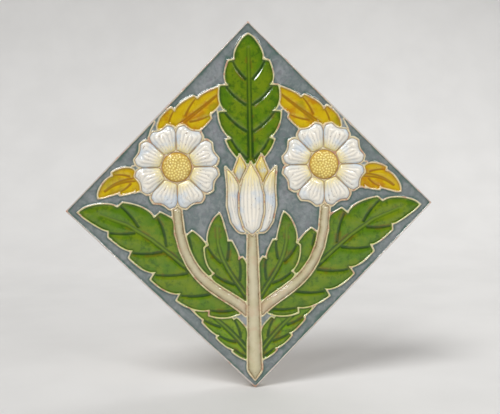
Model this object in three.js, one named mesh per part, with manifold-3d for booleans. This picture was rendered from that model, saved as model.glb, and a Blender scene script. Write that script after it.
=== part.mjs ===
// A press-moulded art nouveau wall tile set on its corner, in millimetres, +Z up.
// The glazed face looks along -Y, and the back lies in the plane Y = 0 with the origin at its centre.
// The fired body carries raised outlines, and each cell between them holds its own pool of glaze.
import * as THREE from "three";
import { mergeVertices } from "three/addons/utils/BufferGeometryUtils.js";
import Module from "manifold-3d";

const wasm = await Module();
wasm.setup();

// The pressed body
const tileSide = 152.4;
const bodyThickness = 8;
const outlineWidth = 1.4;
const outlineHeight = 1.2;
const rimWidth = 1;
const bossHeight = 0.9;

// The glaze in its cells
const glazeDepth = 0.8;
const glazeGap = 0.3;
const cushionEdge = 0.3;
const smallestPool = 12;

// The keys on the back, in rows along the edges of the tile
const keyPitch = 19;
const keyWidth = 14;
const keyDepth = 1.4;
const keyDraft = 0.8;
const keyRows = 7;
const bareRows = 3;

// The tulip in the middle
const tulipBase = -16;
const tulipLength = 44;
const tulipWidth = 29;
const petalRise = 1.6;
const petalDraw = 0.45;

// The pair of rosettes, each a small way out from the tulip
const flowerGap = 4.6;
const rosetteZ = 24;
const rosetteRadius = 24;
const heartRadius = 8.5;
const heartRise = 1.9;
const heartSides = 18;
const petalsPerRosette = 8;
const petalGap = 0.8;
const petalNotch = 1.3;

// The stems
const stemWidth = 5.4;
const stemRise = 0.9;
const stemDraw = 0.6;
const stemFoot = 11;
const forkHeight = -66;

// The leaves: how deep their teeth are cut, how far the teeth lean, and where a leaf is widest
const leafBite = 0.3;
const leafLean = 3;
const leafBelly = 0.8;
const tipMargin = 8;
const topLeafWidth = 36;
const innerLeafWidth = 21;
const sideLeafWidth = 37;
const lowLeafWidth = 16;
const upperAmberWidth = 21;
const cornerAmberWidth = 15;

// The grooves in a leaf
const veinDepth = 0.4;
const ribHalf = 1.2;
const ribGroove = 0.8;
const ribFrom = 0.06;
const ribTo = 0.9;
const veinStart = 0.9;
const veinEnd = 0.4;
const veinRoot = 0.25;
const veinReach = 0.8;
const veinBend = 0.12;

// How far a moved corner may reach, as a share of the distance that its edges move
const tipReach = 1;
const longestReach = 3;

const corner = tileSide / Math.SQRT2;
const rosetteX = tulipWidth / 2 + flowerGap + rosetteRadius;
const glazeTop = bodyThickness + glazeDepth;
const bossTop = bodyThickness + bossHeight;
const outlineTop = bodyThickness + outlineHeight;
const overAll = outlineTop + petalRise + heartRise;
const sides = { right: 1, left: -1 };

const glazes = {
  green: { color: 0x4f8a1c, roughness: 0.12 },
  lime: { color: 0x5f9a20, roughness: 0.12 },
  amber: { color: 0xc99a12, roughness: 0.12 },
  white: { color: 0xefe9da, roughness: 0.18 },
  yellow: { color: 0xe9d468, roughness: 0.18 },
  buff: { color: 0xc9b98f, roughness: 0.2 },
  ground: { color: 0x7d9196, roughness: 0.15 },
  clay: { color: 0xdccfae, roughness: 0.55 },
};

// Points and outlines on the face, with X to the right and Z up
const point = (x, z) => new THREE.Vector2(x, z);
const centre = point(0, 0);
const moved = (start, direction, length) => start.clone().addScaledVector(direction, length);
const mirrored = (outline, sign) => outline.map((p) => point(sign * p.x, p.y));
const drawnIn = (outline, middle, share) => outline.map((p) => p.clone().lerp(middle, share));
const counterclockwise = (outline) =>
  THREE.ShapeUtils.isClockWise(outline) ? outline.toReversed() : outline;
const curve = (...pairs) => new THREE.CubicBezierCurve(...pairs.map(([x, z]) => point(x, z)));
const onFace = (u, v) => [u * corner, v * corner];
const sideways = (path, t) => {
  const along = path.getTangent(t);
  return point(-along.y, along.x);
};

// A closed geometry as a solid that can be cut and joined
function solidOf(geometry) {
  geometry.deleteAttribute("normal");
  geometry.deleteAttribute("uv");
  const merged = mergeVertices(geometry, 1e-4);
  const triVerts = new Uint32Array(merged.index.array);
  const vertProperties = merged.attributes.position.array;
  return new wasm.Manifold(new wasm.Mesh({ numProp: 3, vertProperties, triVerts }));
}

function geometryOf(solid) {
  const mesh = solid.getMesh();
  const geometry = new THREE.BufferGeometry();
  geometry.setAttribute("position", new THREE.BufferAttribute(mesh.vertProperties, 3));
  geometry.setIndex(new THREE.BufferAttribute(mesh.triVerts, 1));
  geometry.computeVertexNormals();
  return geometry;
}

// A flat block over an outline of the face. Depths are measured out from the back.
function block(outline, from, to) {
  const options = { depth: to - from, bevelEnabled: false };
  const geometry = new THREE.ExtrudeGeometry(new THREE.Shape(outline), options);
  geometry.rotateX(Math.PI / 2);
  geometry.translate(0, -from, 0);
  return solidOf(geometry);
}

// The edges that meet in each point of an outline, with their outward normals
const cornersOf = (outline) =>
  outline.map((here, i) => {
    const before = outline[(i + outline.length - 1) % outline.length];
    const after = outline[(i + 1) % outline.length];
    const into = here.clone().sub(before).normalize();
    const out = after.clone().sub(here).normalize();
    const normalIn = point(into.y, -into.x);
    const normalOut = point(out.y, -out.x);
    const middle = normalIn.clone().add(normalOut).normalize();
    const reach = THREE.MathUtils.clamp(1 / middle.dot(normalOut), 1, longestReach);
    return { here, into, out, normalIn, normalOut, middle, reach, bulges: into.cross(out) > 0 };
  });

// The outline moved in by a small distance
const shrunk = (outline, distance) =>
  cornersOf(outline).map(({ here, middle, reach }) => moved(here, middle, -distance * reach));

// Everything within a distance of an outline's area: a strip along each edge, and a square end on each tip
function spread(outline, distance, from, to) {
  const corners = cornersOf(outline).map((edges) => {
    const { here, into, out, normalIn, normalOut, reach, bulges } = edges;
    const past = bulges ? Math.min(Math.sqrt(reach ** 2 - 1), tipReach) * distance : 0;
    const endIn = moved(moved(here, normalIn, distance), into, past);
    const endOut = moved(moved(here, normalOut, distance), out, -past);
    return { ...edges, endIn, endOut };
  });
  const parts = [block(outline, from, to)];
  corners.forEach(({ here, normalOut, middle, endIn, endOut }, i) => {
    const next = corners[(i + 1) % corners.length];
    const inside = [next.here, here].map((end) => moved(end, normalOut, -distance / 2));
    parts.push(block([endOut, next.endIn, ...inside], from, to));
    if (endIn.distanceTo(endOut) > distance / 10) {
      parts.push(block([moved(here, middle, -distance / 2), endIn, endOut], from, to));
    }
  });
  return wasm.Manifold.union(parts);
}

// A cushion stands on a short wall and draws in as it rises. Steps are shares of its draw and of its rise.
const cushionSteps = [[0, 0], [0.3, 0.55], [1, 1]];

function cushion(ringAt, from, rise) {
  const levels = [[0, 0], ...cushionSteps.map(([draw, height]) => [draw, cushionEdge + height * rise])];
  const rings = levels.map(([draw, height]) => ringAt(draw).map((p) => [p.x, -from - height, p.y]));
  const count = rings[0].length;
  const index = [];
  for (let row = 0; row + 1 < rings.length; row++) {
    for (let i = 0; i < count; i++) {
      const a = row * count + i;
      const b = row * count + ((i + 1) % count);
      index.push(a, b, b + count, a, b + count, a + count);
    }
  }
  const last = (rings.length - 1) * count;
  const floor = THREE.ShapeUtils.triangulateShape(ringAt(0), []);
  const top = THREE.ShapeUtils.triangulateShape(ringAt(1), []);
  floor.forEach(([a, b, c]) => index.push(a, c, b));
  top.forEach(([a, b, c]) => index.push(last + a, last + b, last + c));
  const geometry = new THREE.BufferGeometry();
  geometry.setAttribute("position", new THREE.Float32BufferAttribute(rings.flat(2), 3));
  geometry.setIndex(index);
  return solidOf(geometry);
}

// A band along a curve from one width to another. It can run beside the curve, or end in a pointed foot.
function band(path, { from = 0, to = 1, start, end, beside = 0, foot = 0, steps }) {
  const left = [];
  const right = [];
  for (let i = 0; i <= steps; i++) {
    const share = i / steps;
    const t = THREE.MathUtils.lerp(from, to, share);
    const half = THREE.MathUtils.lerp(start, end, share) / 2;
    const middle = THREE.MathUtils.lerp(beside, beside / 4, share);
    left.push(moved(path.getPoint(t), sideways(path, t), middle + half));
    right.unshift(moved(path.getPoint(t), sideways(path, t), middle - half));
  }
  if (foot) right.push(moved(path.getPoint(from), path.getTangent(from), -foot));
  return [...left, ...right];
}

// A cell has an outline on the face and a glaze. A raised cell also has a cushion that draws in ring by ring.
const cell = (name, glaze, outline, more) => ({ name, glaze, outline: counterclockwise(outline), ...more });
const bothSides = (make) => Object.entries(sides).flatMap(([side, sign]) => make(side, sign));

function petal(name, glaze, outline, middle, rise = petalRise) {
  const edge = shrunk(counterclockwise(outline), glazeGap);
  const ringAt = (share) => drawnIn(edge, middle, share * petalDraw);
  return cell(name, glaze, outline, { ringAt, rise });
}

// A rosette has notched petals round a domed heart. Steps are shares of a petal's length and of its width.
const rosettePetalSteps = [[0, 1], [0.35, 1], [0.65, 1], [0.85, 0.86], [1, 0.5]];

function rosettePetal(middle, angle) {
  const wedge = Math.tan(Math.PI / petalsPerRosette);
  const inner = heartRadius + petalGap;
  const edge = rosettePetalSteps.map(([share, width]) => {
    const r = THREE.MathUtils.lerp(inner, rosetteRadius, share);
    return [r, (r * wedge - petalGap / 2) * width];
  });
  const outline = [
    ...edge.map(([r, half]) => point(r, -half)),
    point(rosetteRadius - petalNotch, 0),
    ...edge.reverse().map(([r, half]) => point(r, half)),
  ];
  return outline.map((p) => p.rotateAround(centre, angle).add(middle));
}

function rosette(side, sign) {
  const middle = point(sign * rosetteX, rosetteZ);
  const heart = Array.from({ length: heartSides }, (_, i) =>
    point(heartRadius, 0).rotateAround(centre, (2 * Math.PI * i) / heartSides).add(middle),
  );
  const cells = [petal(`rosette_heart_${side}`, "yellow", heart, middle, heartRise)];
  for (let k = 0; k < petalsPerRosette; k++) {
    const angle = Math.PI / 2 + (sign * 2 * Math.PI * (k + 0.5)) / petalsPerRosette;
    const belly = point((heartRadius + rosetteRadius) / 2, 0).rotateAround(centre, angle).add(middle);
    cells.push(petal(`rosette_petal_${side}_${k + 1}`, "white", rosettePetal(middle, angle), belly));
  }
  return cells;
}

// The tulip's petals are drawn in shares of its half width and of its length.
function tulipPetal(name, glaze, sign, belly, shares) {
  const place = ([u, v]) => point((sign * u * tulipWidth) / 2, tulipBase + v * tulipLength);
  return petal(name, glaze, shares.map(place), place(belly));
}

const tulipFront = () => [
  tulipPetal("tulip_front_petal", "white", 1, [0, 0.42], [
    [0, 0], [0.3, 0.08], [0.47, 0.28], [0.47, 0.52], [0.32, 0.74], [0, 0.94],
    [-0.32, 0.74], [-0.47, 0.52], [-0.47, 0.28], [-0.3, 0.08],
  ]),
];

const tulipSide = (side, sign) =>
  tulipPetal(`tulip_side_petal_${side}`, "white", sign, [0.68, 0.45], [
    [0.1, 0.02], [0.48, 0.03], [0.82, 0.16], [0.97, 0.38], [0.94, 0.62],
    [1, 0.88], [0.72, 0.78], [0.5, 0.62], [0.3, 0.4],
  ]);

const tulipBack = (side, sign) =>
  tulipPetal(`tulip_back_petal_${side}`, "yellow", sign, [0.42, 0.78], [
    [0.1, 0.5], [0.75, 0.6], [0.68, 0.84], [0.44, 1.04], [0.22, 0.92], [0.06, 0.8],
  ]);

// A stem's cushion draws in its width evenly, so that it follows the curve.
function stem(name, sign, path, { start, end, foot = 0, steps }) {
  const outlineAt = (gap, share) => {
    const drawn = 1 - share * stemDraw;
    const widths = { start: (start - 2 * gap) * drawn, end: (end - 2 * gap) * drawn, foot: foot * drawn };
    return counterclockwise(mirrored(band(path, { ...widths, steps }), sign));
  };
  const ringAt = (share) => outlineAt(glazeGap, share);
  return cell(name, "buff", outlineAt(0, 0), { ringAt, rise: stemRise });
}

function mainStem() {
  const path = curve([0, stemFoot - corner], [0, forkHeight], [0, tulipBase - stemFoot], [0, tulipBase]);
  const widths = { start: 1.4 * stemWidth, end: 0.85 * stemWidth, foot: stemWidth };
  return [stem("main_stem", 1, path, { ...widths, steps: 6 })];
}

function branchStem(side, sign) {
  const bend = [rosetteX + stemWidth, -0.464 * corner];
  const path = curve([0, forkHeight], onFace(0.13, -0.43), bend, [rosetteX, rosetteZ - heartRadius]);
  return stem(`branch_stem_${side}`, sign, path, { start: stemWidth, end: 0.8 * stemWidth, steps: 11 });
}

// A leaf's half width along its midrib, as a share of the widest
const fullness = (t, belly) => Math.sin(Math.PI * t ** belly) ** 0.75;

// A tooth from its notch to its tip, as shares of its length and of its depth
const toothSteps = [[0, 0], [0.12, 0.42], [0.36, 0.8], [0.64, 0.98], [0.86, 1]];
const toothTip = toothSteps.at(-1)[0];

// One side of a toothed leaf about its midrib. The teeth lean towards the leaf's tip.
function leafEdge({ midrib, width, teeth, belly }, sign) {
  const places = [];
  for (let k = 0; k < teeth; k++) {
    for (const [share, swell] of toothSteps) {
      const t = (k + share) / teeth;
      if (t === 0) continue;
      const half = (width / 2) * fullness(t, belly) * (1 - leafBite * (1 - swell));
      const edge = moved(midrib.getPoint(t), sideways(midrib, t), sign * half);
      places.push(moved(edge, midrib.getTangent(t), leafLean * fullness(t, 1) * share ** 3));
    }
  }
  return places;
}

const leafOutline = (shape) => [
  shape.midrib.getPoint(0),
  ...leafEdge(shape, 1),
  shape.midrib.getPoint(1),
  ...leafEdge(shape, -1).reverse(),
];

// A side vein bends out from the midrib to the tip of a tooth.
function sideVein({ midrib, width, teeth, belly }, k, sign) {
  const rootT = (k + veinRoot) / teeth;
  const tipT = (k + toothTip) / teeth;
  const reach = (width / 2) * fullness(tipT, belly) * veinReach;
  const across = sideways(midrib, rootT);
  const root = moved(midrib.getPoint(rootT), across, sign * (ribHalf + ribGroove));
  const tip = moved(midrib.getPoint(tipT), sideways(midrib, tipT), sign * reach);
  const bend = moved(root.clone().lerp(tip, 0.5), across, sign * reach * veinBend);
  const path = new THREE.QuadraticBezierCurve(root, bend, moved(tip, midrib.getTangent(tipT), leafLean / 2));
  return band(path, { start: veinStart, end: veinEnd, steps: 3 });
}

function leafVeins(shape) {
  const groove = { from: ribFrom, to: ribTo, start: ribGroove, end: veinEnd, steps: 6 };
  const beside = [1, -1].map((sign) => band(shape.midrib, { ...groove, beside: sign * ribHalf }));
  const toTeeth = [];
  for (let k = 0; k + 1 < shape.teeth; k++) {
    toTeeth.push(sideVein(shape, k, 1), sideVein(shape, k, -1));
  }
  return [...beside, ...toTeeth];
}

function leaf(name, glaze, sign, width, teeth, midribPoints) {
  const midrib = curve(...midribPoints.map(([x, z]) => [sign * x, z]));
  const shape = { midrib, width, teeth, belly: leafBelly };
  return cell(name, glaze, leafOutline(shape), { veins: leafVeins(shape) });
}

// Where a leaf isn't tied to another piece, its midrib is drawn in shares of the distance to a corner.
function topLeaf() {
  const behindTulip = [0, tulipBase + 0.9 * tulipLength];
  const midrib = [behindTulip, onFace(0, 0.48), onFace(0, 0.7), [0, corner - tipMargin]];
  return [leaf("top_leaf", "green", 1, topLeafWidth, 5, midrib)];
}

function innerLeaf(side, sign) {
  const besideTulip = [tulipWidth / 2 + flowerGap, tulipBase + 0.27 * tulipLength];
  const midrib = [[0, forkHeight + stemWidth], onFace(0.08, -0.39), onFace(0.24, -0.28), besideTulip];
  return leaf(`inner_leaf_${side}`, "green", sign, innerLeafWidth, 4, midrib);
}

function sideLeaf(side, sign) {
  const root = [stemWidth, forkHeight + stemWidth];
  const midrib = [root, onFace(0.32, -0.445), onFace(0.54, -0.03), [corner - tipMargin, -1]];
  return leaf(`side_leaf_${side}`, "green", sign, sideLeafWidth, 6, midrib);
}

function lowLeaf(side, sign) {
  const root = [0, stemFoot + stemWidth - corner];
  const midrib = [root, onFace(0.09, -0.715), onFace(0.185, -0.605), onFace(0.37, -0.5)];
  return leaf(`low_leaf_${side}`, "lime", sign, lowLeafWidth, 4, midrib);
}

function upperAmberLeaf(side, sign) {
  const underRosette = [rosetteX + 0.6 * rosetteRadius, rosetteZ + 0.35 * rosetteRadius];
  const underTopLeaf = [topLeafWidth / 3, 0.657 * corner];
  const midrib = [underRosette, onFace(0.43, 0.43), onFace(0.32, 0.48), underTopLeaf];
  return leaf(`upper_amber_leaf_${side}`, "amber", sign, upperAmberWidth, 4, midrib);
}

function cornerAmberLeaf(side, sign) {
  const underRosette = [rosetteX + 0.6 * rosetteRadius, rosetteZ - 0.25 * rosetteRadius];
  const besideRosette = [rosetteX + rosetteRadius, rosetteZ - 0.3 * rosetteRadius];
  const midrib = [underRosette, besideRosette, onFace(0.72, 0.18), onFace(0.82, 0.07)];
  return leaf(`corner_amber_leaf_${side}`, "amber", sign, cornerAmberWidth, 3, midrib);
}

// The layers of the design from the top one down. Each layer's outlines cut the layers under it.
const layers = [
  bothSides(rosette),
  tulipFront(),
  bothSides(tulipSide),
  bothSides(tulipBack),
  mainStem(),
  bothSides(branchStem),
  topLeaf(),
  bothSides(innerLeaf),
  bothSides(sideLeaf),
  bothSides(lowLeaf),
  bothSides(upperAmberLeaf),
  bothSides(cornerAmberLeaf),
];

const square = [point(corner, 0), point(0, corner), point(-corner, 0), point(0, -corner)];
const insideRim = shrunk(square, rimWidth);
const face = block(insideRim, 0, overAll);
const glazedFace = block(shrunk(insideRim, glazeGap), 0, overAll);
const group = new THREE.Group();
let body = block(square, 0, outlineTop);

function addMesh(name, solid, glaze) {
  const material = new THREE.MeshStandardMaterial({ ...glazes[glaze], metalness: 0 });
  const mesh = new THREE.Mesh(geometryOf(solid), material);
  mesh.name = name;
  group.add(mesh);
}

// Presses the parts of a pocket that are large enough for glaze into the body, and lays the pools in them.
// Where a cell is cut into several pools, they are numbered from the largest down.
function fill(name, glaze, pocket, pool) {
  const pools = pool.decompose().filter((part) => part.volume() > smallestPool);
  pools.sort((a, b) => b.volume() - a.volume());
  for (const open of pocket.decompose()) {
    if (pools.some((part) => part.intersect(open).volume() > 0)) body = body.subtract(open);
  }
  pools.forEach((part, i) => addMesh(pools.length > 1 ? `${name}_${i + 1}` : name, part, glaze));
}

let ridges = wasm.Manifold.union([]);
let ridgesAndGap = wasm.Manifold.union([]);
for (const cells of layers) {
  for (const { name, glaze, outline, ringAt, rise, veins = [] } of cells) {
    const floor = ringAt ? bossTop : bodyThickness;
    const whole = ringAt
      ? cushion(ringAt, floor, rise)
      : block(shrunk(outline, glazeGap), floor, glazeTop);
    const grooves = wasm.Manifold.union(veins.map((vein) => block(vein, glazeTop - veinDepth, overAll)));
    const pocket = block(outline, floor, overAll).intersect(face).subtract(ridges);
    fill(name, glaze, pocket, whole.intersect(glazedFace).subtract(ridgesAndGap).subtract(grooves));
  }
  const spreads = (distance) => cells.map(({ outline }) => spread(outline, distance, glazeDepth, overAll));
  ridges = wasm.Manifold.union([ridges, ...spreads(outlineWidth)]);
  ridgesAndGap = wasm.Manifold.union([ridgesAndGap, ...spreads(outlineWidth + glazeGap)]);
}

// The ground fills what the design leaves open.
const groundPocket = block(square, bodyThickness, overAll).intersect(face).subtract(ridges);
const groundPool = block(square, bodyThickness, glazeTop).intersect(glazedFace).subtract(ridgesAndGap);
fill("ground_glaze", "ground", groundPocket, groundPool);

// The back has a grid of shallow keys with sloping walls round a bare plate.
function pressKeys() {
  const halfDiagonal = Math.SQRT1_2;
  const atMouth = (keyWidth + 2 * keyDraft) * halfDiagonal;
  const atFloor = (keyWidth - 2 * keyDraft) * halfDiagonal;
  for (let row = (1 - keyRows) / 2; row <= (keyRows - 1) / 2; row++) {
    for (let column = (1 - keyRows) / 2; column <= (keyRows - 1) / 2; column++) {
      if (Math.abs(row) < bareRows / 2 && Math.abs(column) < bareRows / 2) continue;
      const key = new THREE.CylinderGeometry(atMouth, atFloor, 2 * keyDepth, 4);
      key.translate((column + row) * keyPitch * halfDiagonal, 0, (row - column) * keyPitch * halfDiagonal);
      body = body.subtract(solidOf(key));
    }
  }
}

pressKeys();
addMesh("tile_body", body, "clay");

export default group;
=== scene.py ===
# %% [markdown]
# # A majolica wall tile
#
# The object is a six inch wall tile, pressed from pale clay and shown standing on one corner. A raised
# line runs round every petal, leaf and stem of its design. Each cell between the lines was filled with a
# coloured glaze, which melted into a glossy pool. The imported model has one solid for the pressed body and
# one for each pool. This lesson keeps all their outlines and levels, and gives each of them the soft
# surface of fired glaze.

import math

import bpy
import numpy as np
from mathutils import Matrix, Vector, geometry, kdtree, noise


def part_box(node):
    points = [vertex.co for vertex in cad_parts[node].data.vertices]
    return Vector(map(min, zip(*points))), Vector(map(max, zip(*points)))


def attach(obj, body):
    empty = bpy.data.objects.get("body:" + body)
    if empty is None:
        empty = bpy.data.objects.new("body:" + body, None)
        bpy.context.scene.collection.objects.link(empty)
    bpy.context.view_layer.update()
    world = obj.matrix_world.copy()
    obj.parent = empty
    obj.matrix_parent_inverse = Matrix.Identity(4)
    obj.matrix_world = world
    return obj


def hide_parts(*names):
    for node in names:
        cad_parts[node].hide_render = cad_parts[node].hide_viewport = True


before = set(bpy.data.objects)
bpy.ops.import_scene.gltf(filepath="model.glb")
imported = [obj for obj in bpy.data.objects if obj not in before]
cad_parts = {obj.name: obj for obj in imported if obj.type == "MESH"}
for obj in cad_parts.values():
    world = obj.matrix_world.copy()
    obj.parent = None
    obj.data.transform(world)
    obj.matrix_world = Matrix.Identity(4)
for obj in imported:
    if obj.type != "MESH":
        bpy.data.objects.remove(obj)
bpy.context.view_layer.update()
MM = 0.001
print("solids in the frame:", len(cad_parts))

# %% [markdown]
# ## The measures of the pressing
#
# Everything is worked out from the boxes of the solids, in millimetres. The back of the tile is at zero,
# and a level is how far something stands out from it. The face is drawn on two axes: x to the right and z
# up.

# %% Read the levels of the pressing
def level_of_front(node):
    return -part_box(node)[0].y / MM


def level_of_back(node):
    return -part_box(node)[1].y / MM


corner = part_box("tile_body")[1].x / MM
tile_side = corner * math.sqrt(2)
outline_top = level_of_front("tile_body")
pocket_floor = level_of_back("top_leaf")
pool_top = level_of_front("top_leaf")
stem_top = level_of_front("main_stem")
petal_top = level_of_front("tulip_front_petal")
heart_top = level_of_front("rosette_heart_right")
print(f"tile {tile_side:.1f} mm, outlines {outline_top:.1f}, pools {pool_top:.1f}, petals {petal_top:.1f}")

# %% [markdown]
# ## The outlines of the cells
#
# Each pool's solid has a flat face at its back, and the edge of that face is the outline of the cell. The
# same reading, turned round, finds the grooves that are pressed into a leaf. An outline is read as a
# closed row of points, with the material on its left.

# %% Read the edge of a solid's flat faces at one level
LEVEL_SLACK = 0.02
LOOKS_BACK = 1
LOOKS_FORWARD = -1


def flat_edges(node, level, looks):
    """The closed outlines of the faces of a node that lie at a level and look one way."""
    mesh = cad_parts[node].data
    places = np.array([v.co for v in mesh.vertices]) / MM
    names = {}
    same = [names.setdefault(tuple(np.round(p, 3)), len(names)) for p in places]
    corners = np.array(list(names))
    edges = set()
    for face in mesh.polygons:
        ring = [same[v] for v in face.vertices]
        if np.abs(corners[ring, 1] + level).max() > LEVEL_SLACK:
            continue
        if np.cross(corners[ring[1]] - corners[ring[0]], corners[ring[2]] - corners[ring[0]])[1] * looks <= 0:
            continue
        for start, end in zip(ring, ring[1:] + ring[:1]):
            if (end, start) in edges:
                edges.remove((end, start))
            else:
                edges.add((start, end))
    follows = {}
    for start, end in sorted(edges):
        follows.setdefault(start, []).append(end)
    outlines = []
    while follows:
        ring = [min(follows)]
        while True:
            after = follows[ring[-1]].pop()
            if not follows[ring[-1]]:
                del follows[ring[-1]]
            if after == ring[0]:
                break
            ring.append(after)
        outline = corners[ring][:, [0, 2]]
        outlines.append(outline[::-1] if looks == LOOKS_BACK else outline)
    return outlines


# %% [markdown]
# ## From straight pieces to a drawn line
#
# The solids have outlines of short straight pieces. The real lines were cut by hand into the mould, so
# they flow, and only the tips of teeth stay pointed. Each outline is first moved out by the small gap
# that the solids keep, so that the glaze meets the clay. Then a curve is laid through its points, which
# stays sharp where the outline turns hard, and it is divided evenly. A last smoothing rounds the points
# as fired glaze does.

# %% Draw a flowing line through an outline
GLAZE_GAP = 0.3
LAP = 0.2
PETAL_LAP = 0.08
UNEVEN = 0.13
UNEVEN_SIZE = 3.5
CLOSE_POINTS = 0.4
HARD_TURN = math.radians(48)
LONG_STRAIGHT = 9.0
LINE_STEP = 0.5
POINT_ROUNDING = 3
SHARPEST = 0.25


def beside(row, steps):
    """The points that come some steps after each point of a closed row."""
    return np.roll(row, -steps, axis=0)


def unit(vectors):
    return vectors / np.maximum(np.linalg.norm(vectors, axis=-1, keepdims=True), 1e-9)


def outward(outline):
    """The outward direction in each point of an outline that has its inside on the left."""
    ahead = unit(beside(outline, 1) - outline)
    behind = unit(outline - beside(outline, -1))
    along = unit(ahead + behind)
    return np.stack([along[:, 1], -along[:, 0]], axis=1)


def without_close_points(outline):
    kept = [outline[0]]
    for p in outline[1:]:
        if np.linalg.norm(p - kept[-1]) > CLOSE_POINTS:
            kept.append(p)
    if np.linalg.norm(kept[0] - kept[-1]) < CLOSE_POINTS:
        kept.pop()
    return np.array(kept)


def moved_out(outline, distance):
    ahead = unit(beside(outline, 1) - outline)
    behind = unit(outline - beside(outline, -1))
    cosine = np.sqrt(np.clip((1 + (ahead * behind).sum(1)) / 2, SHARPEST, 1))
    return outline + outward(outline) * (distance / cosine)[:, None]


def drawn_line(outline, step=LINE_STEP):
    ahead = beside(outline, 1) - outline
    length = np.linalg.norm(ahead, axis=1)
    ahead = unit(ahead)
    behind = beside(ahead, -1)
    turn = np.arccos(np.clip((ahead * behind).sum(1), -1, 1))
    hard = (turn > HARD_TURN) | (length > LONG_STRAIGHT) | (beside(length, -1) > LONG_STRAIGHT)
    through = unit(ahead + behind)
    leaving = np.where(hard[:, None], ahead, through)
    arriving = np.where(hard[:, None], behind, through)
    points = []
    for i in range(len(outline)):
        j = (i + 1) % len(outline)
        count = max(1, round(length[i] / step))
        s = (np.arange(count) / count)[:, None]
        points.append(
            (2 * s**3 - 3 * s**2 + 1) * outline[i]
            + (s**3 - 2 * s**2 + s) * leaving[i] * length[i]
            + (3 * s**2 - 2 * s**3) * outline[j]
            + (s**3 - s**2) * arriving[j] * length[i]
        )
    line = np.vstack(points)
    for _ in range(POINT_ROUNDING):
        line = (beside(line, -1) + 2 * line + beside(line, 1)) / 4
    return line


# %% [markdown]
# ## The cells of the design
#
# A cell is one pool of glaze: its outline, its kind, and the outlines of the grooves pressed into it.
# Flat pools lie on the pocket floors, and raised ones lie over bosses. Both are read in the same way. The
# glaze laps a little over the foot of the line round it, more in one place and less in another.

# %% Read every cell
def kind_of(name):
    for kind in ("rosette_petal", "rosette_heart", "tulip", "stem", "amber_leaf", "leaf", "ground"):
        if kind in name:
            return kind
    return None


def wander(points, size, seed):
    """A smooth uneven field between about -1 and 1, with patches of a given size in millimetres."""
    return np.array([noise.noise((x / size, z / size, seed)) for x, z in points])


VEIN_DEPTH = 0.4
VEIN_STEP = 0.15
SHORTEST_VEIN = 5
cells = {}
for name in sorted(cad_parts):
    if kind_of(name):
        raw = max(flat_edges(name, level_of_back(name), LOOKS_BACK), key=len)
        veins = flat_edges(name, pool_top - VEIN_DEPTH, LOOKS_FORWARD)
        veins = [drawn_line(vein, VEIN_STEP) for vein in veins if np.ptp(vein, axis=0).sum() > SHORTEST_VEIN]
        lap = PETAL_LAP if "petal" in name or "heart" in name else LAP
        edge = drawn_line(moved_out(without_close_points(raw), GLAZE_GAP + lap))
        edge = edge + outward(edge) * (UNEVEN * wander(edge, UNEVEN_SIZE, seed=0))[:, None]
        cells[name] = {"kind": kind_of(name), "edge": edge, "veins": sorted(veins, key=len, reverse=True)}
print("cells:", len(cells), "points on their edges:", sum(len(c["edge"]) for c in cells.values()))

# %% [markdown]
# ## How far a point lies from a line
#
# The height of the glaze depends on how near the next outline is, so every point needs that distance. A
# tree of closely spaced points on the lines answers quickly, and it also tells on which side of the line
# a point is.

# %% Measure distances from lines
TREE_STEP = 0.1


def closely(line):
    """A closed line with a point every tenth of a millimetre."""
    ends = beside(line, 1)
    counts = np.maximum(1, np.ceil(np.linalg.norm(ends - line, axis=1) / TREE_STEP)).astype(int)
    starts = np.repeat(line, counts, axis=0)
    reach = np.repeat(ends - line, counts, axis=0)
    share = np.concatenate([np.arange(n) / n for n in counts])
    return starts + reach * share[:, None]


class Shore:
    """The lines round some cells, ready to be measured from."""

    def __init__(self, lines):
        dense = [closely(line) for line in lines]
        self.points = np.vstack(dense)
        self.out = np.vstack([outward(line) for line in dense])
        self.owner = np.concatenate([np.full(len(line), i) for i, line in enumerate(dense)])
        self.tree = kdtree.KDTree(len(self.points))
        for i, (x, z) in enumerate(self.points):
            self.tree.insert((x, z, 0), i)
        self.tree.balance()

    def measure(self, places):
        """How far off the nearest line each place is, whether it is inside that line, and whose it is."""
        found = [self.tree.find((x, z, 0)) for x, z in places]
        index = np.array([f[1] for f in found])
        distance = np.array([f[2] for f in found])
        inside = ((places - self.points[index]) * self.out[index]).sum(1) < 0
        return distance, inside, self.owner[index]


all_edges = [cell["edge"] for cell in cells.values()]
all_shores = Shore(all_edges)
print("points in the tree:", len(all_shores.points))

# %% [markdown]
# ## An even skin inside an outline
#
# Blender's own fill makes long thin triangles, which show as streaks in a glossy glaze. So the inside of
# an outline gets evenly spread points: two rows that follow the edge, where the glaze turns up to the
# line, and a grid like a honeycomb over the rest. A Delaunay triangulation joins them to the edge.

# %% Spread points over the whole face and sort them by cell
GRID_STEP = 0.46
EDGE_ROWS = (0.2, 0.45)
STILL_BESIDE = 0.9
square = corner * np.array([[1, 0], [0, 1], [-1, 0], [0, -1]])


def honeycomb(reach, step):
    rows = np.arange(-reach, reach, step * math.sqrt(3) / 2)
    columns = np.arange(-reach, reach, step)
    return np.vstack([np.stack([columns + (r % 2) * step / 2, np.full(len(columns), z)], axis=1)
                      for r, z in enumerate(rows)])


face_grid = honeycomb(corner, GRID_STEP)
from_rim = (corner - np.abs(face_grid).sum(1)) / math.sqrt(2)
face_grid = face_grid[from_rim > GRID_STEP]
grid_distance, grid_inside, grid_owner = all_shores.measure(face_grid)
print("points on the grid:", len(face_grid))


# %% Join the points of a region to its edges
def edge_rows(line, sign):
    """Rows of points beside a line, inside it for sign -1 and outside it for sign 1."""
    rows = []
    for distance in EDGE_ROWS:
        row = line + sign * distance * outward(line)
        off, inside, _ = all_shores.measure(row)
        rows.append(row[(off > STILL_BESIDE * distance) & (inside == (sign < 0))])
    return rows


INSIDE_WITHOUT_HOLES = 2


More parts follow.
